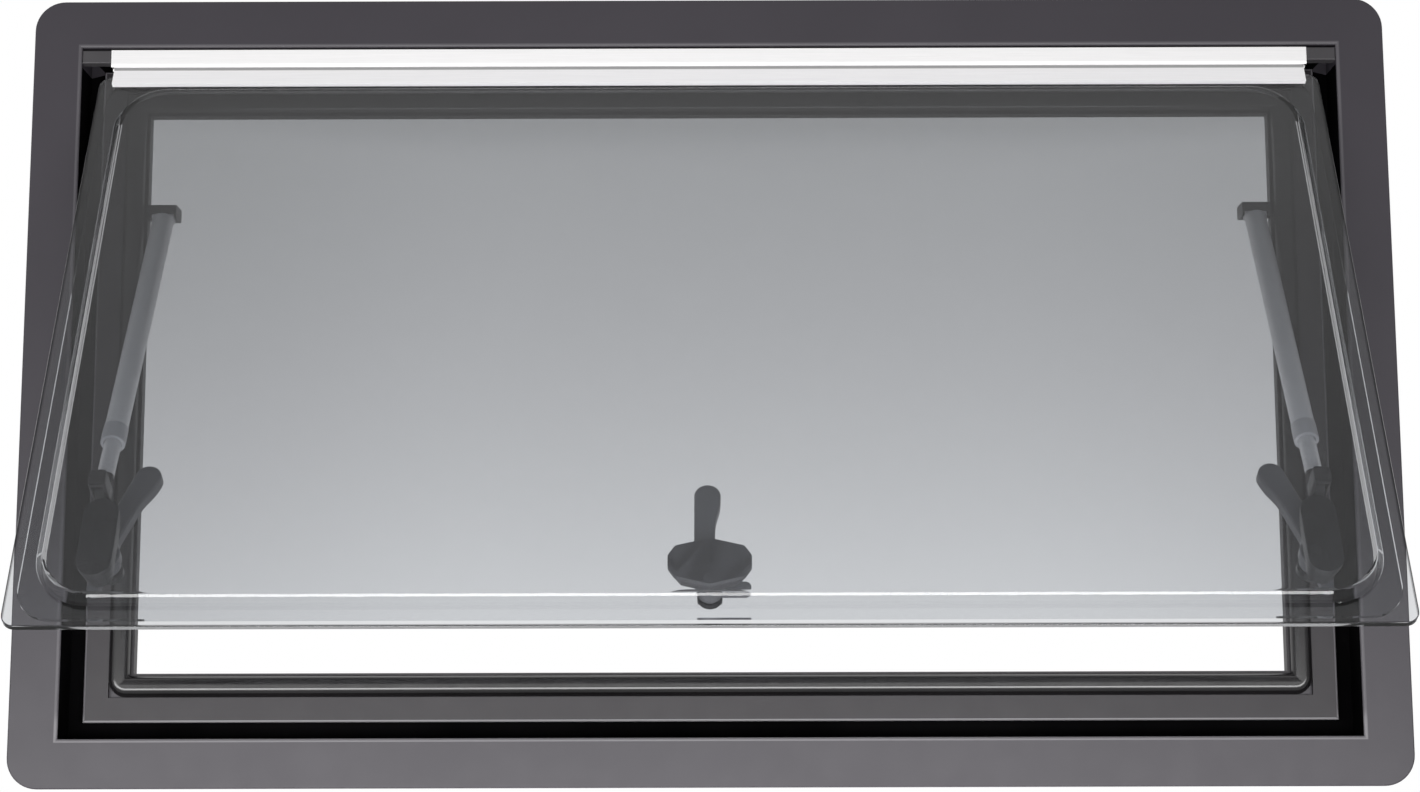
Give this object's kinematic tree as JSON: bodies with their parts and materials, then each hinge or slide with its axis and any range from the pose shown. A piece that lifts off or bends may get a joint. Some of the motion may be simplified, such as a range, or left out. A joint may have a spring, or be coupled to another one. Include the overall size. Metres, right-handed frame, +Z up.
{
  "type": "caravan window",
  "caption": "Top-hung caravan window: moulded flange frame with seal, tinted double pane in a hook hinge, telescopic stays and turning lever catches.",
  "frame": {"origin": "back face of the flange, in the middle of its lower strip", "axes": "+X along the window, +Y through the wall to the inside, +Z up"},
  "size_m": [0.95, 0.2377, 0.55],
  "materials": {
    "frame_plastic": "fine grained satin, dark grey",
    "seal_rubber": "smooth black rubber",
    "rail_metal": "satin, near white",
    "cap_plastic": "satin dark grey",
    "tinted_acrylic": "clear, smoke grey tint, polished",
    "stay_tube_metal": "satin mid grey",
    "stay_collar_plastic": "satin grey",
    "stay_rod_metal": "satin grey",
    "pin_steel": "plain",
    "catch_plastic": "satin dark grey",
    "button_plastic": "satin dark grey"
  },
  "bodies": {
    "frame": {"outer_frame": "frame_plastic", "frame_seal": "seal_rubber", "hinge_rail": "rail_metal", "hinge_end_cap_left": "cap_plastic", "hinge_end_cap_right": "cap_plastic", "stay_bracket_left": "cap_plastic", "stay_bracket_right": "cap_plastic", "stay_pin_left": "pin_steel", "stay_pin_right": "pin_steel"},
    "sash": {"outer_pane": "tinted_acrylic", "inner_pane": "tinted_acrylic", "sash_rail": "rail_metal", "stay_foot_left": "cap_plastic", "stay_foot_right": "cap_plastic", "foot_pin_left": "pin_steel", "foot_pin_right": "pin_steel", "catch_base_left": "catch_plastic", "catch_base_centre": "catch_plastic", "catch_base_right": "catch_plastic"},
    "stay_tube_l": {"stay_tube_left": "stay_tube_metal", "stay_collar_left": "stay_collar_plastic"},
    "stay_tube_r": {"stay_tube_right": "stay_tube_metal", "stay_collar_right": "stay_collar_plastic"},
    "stay_rod_l": {"stay_rod_left": "stay_rod_metal"},
    "stay_rod_r": {"stay_rod_right": "stay_rod_metal"},
    "lever_l": {"catch_lever_left": "catch_plastic", "catch_button_left": "button_plastic"},
    "lever_c": {"catch_lever_centre": "catch_plastic", "catch_button_centre": "button_plastic"},
    "lever_r": {"catch_lever_right": "catch_plastic", "catch_button_right": "button_plastic"}
  },
  "joints": [
    {"name": "sash_hinge", "type": "hinge", "parent": "frame", "child": "sash", "pos_m": [0, -0.004, 0.492], "axis": [1, 0, 0], "range_deg": [0, 26.6]},
    {"name": "stay_pivot_left", "type": "hinge", "parent": "frame", "child": "stay_tube_l", "pos_m": [-0.3859, 0.02, 0.3875], "axis": [1, 0, 0], "range_deg": [0, 35.9]},
    {"name": "stay_slide_left", "type": "slide", "parent": "stay_tube_l", "child": "stay_rod_l", "axis": [0, 0.5847, 0.8112], "range_m": [0, 0.0276]},
    {"name": "stay_pivot_right", "type": "hinge", "parent": "frame", "child": "stay_tube_r", "pos_m": [0.3859, 0.02, 0.3875], "axis": [1, 0, 0], "range_deg": [0, 35.9]},
    {"name": "stay_slide_right", "type": "slide", "parent": "stay_tube_r", "child": "stay_rod_r", "axis": [0, 0.5847, 0.8112], "range_m": [0, 0.0276]},
    {"name": "lever_turn_left", "type": "hinge", "parent": "sash", "child": "lever_l", "pos_m": [-0.3795, -0.14666, 0.12895], "axis": [0, 0.8942, -0.4478], "range_deg": [0, 69.5]},
    {"name": "lever_turn_centre", "type": "hinge", "parent": "sash", "child": "lever_c", "pos_m": [0, -0.15517, 0.11196], "axis": [0, 0.8942, -0.4478], "range_deg": [0, 90]},
    {"name": "lever_turn_right", "type": "hinge", "parent": "sash", "child": "lever_r", "pos_m": [0.3795, -0.14666, 0.12895], "axis": [0, -0.8942, 0.4478], "range_deg": [0, 69.5]}
  ],
  "couplings": [
    {"joint": "stay_pivot_left", "follows": "sash_hinge", "ratio": 1.3479},
    {"joint": "stay_slide_left", "follows": "sash_hinge", "m_per_rad": 0.05924},
    {"joint": "stay_pivot_right", "follows": "sash_hinge", "ratio": 1.3479},
    {"joint": "stay_slide_right", "follows": "sash_hinge", "m_per_rad": 0.05924}
  ]
}
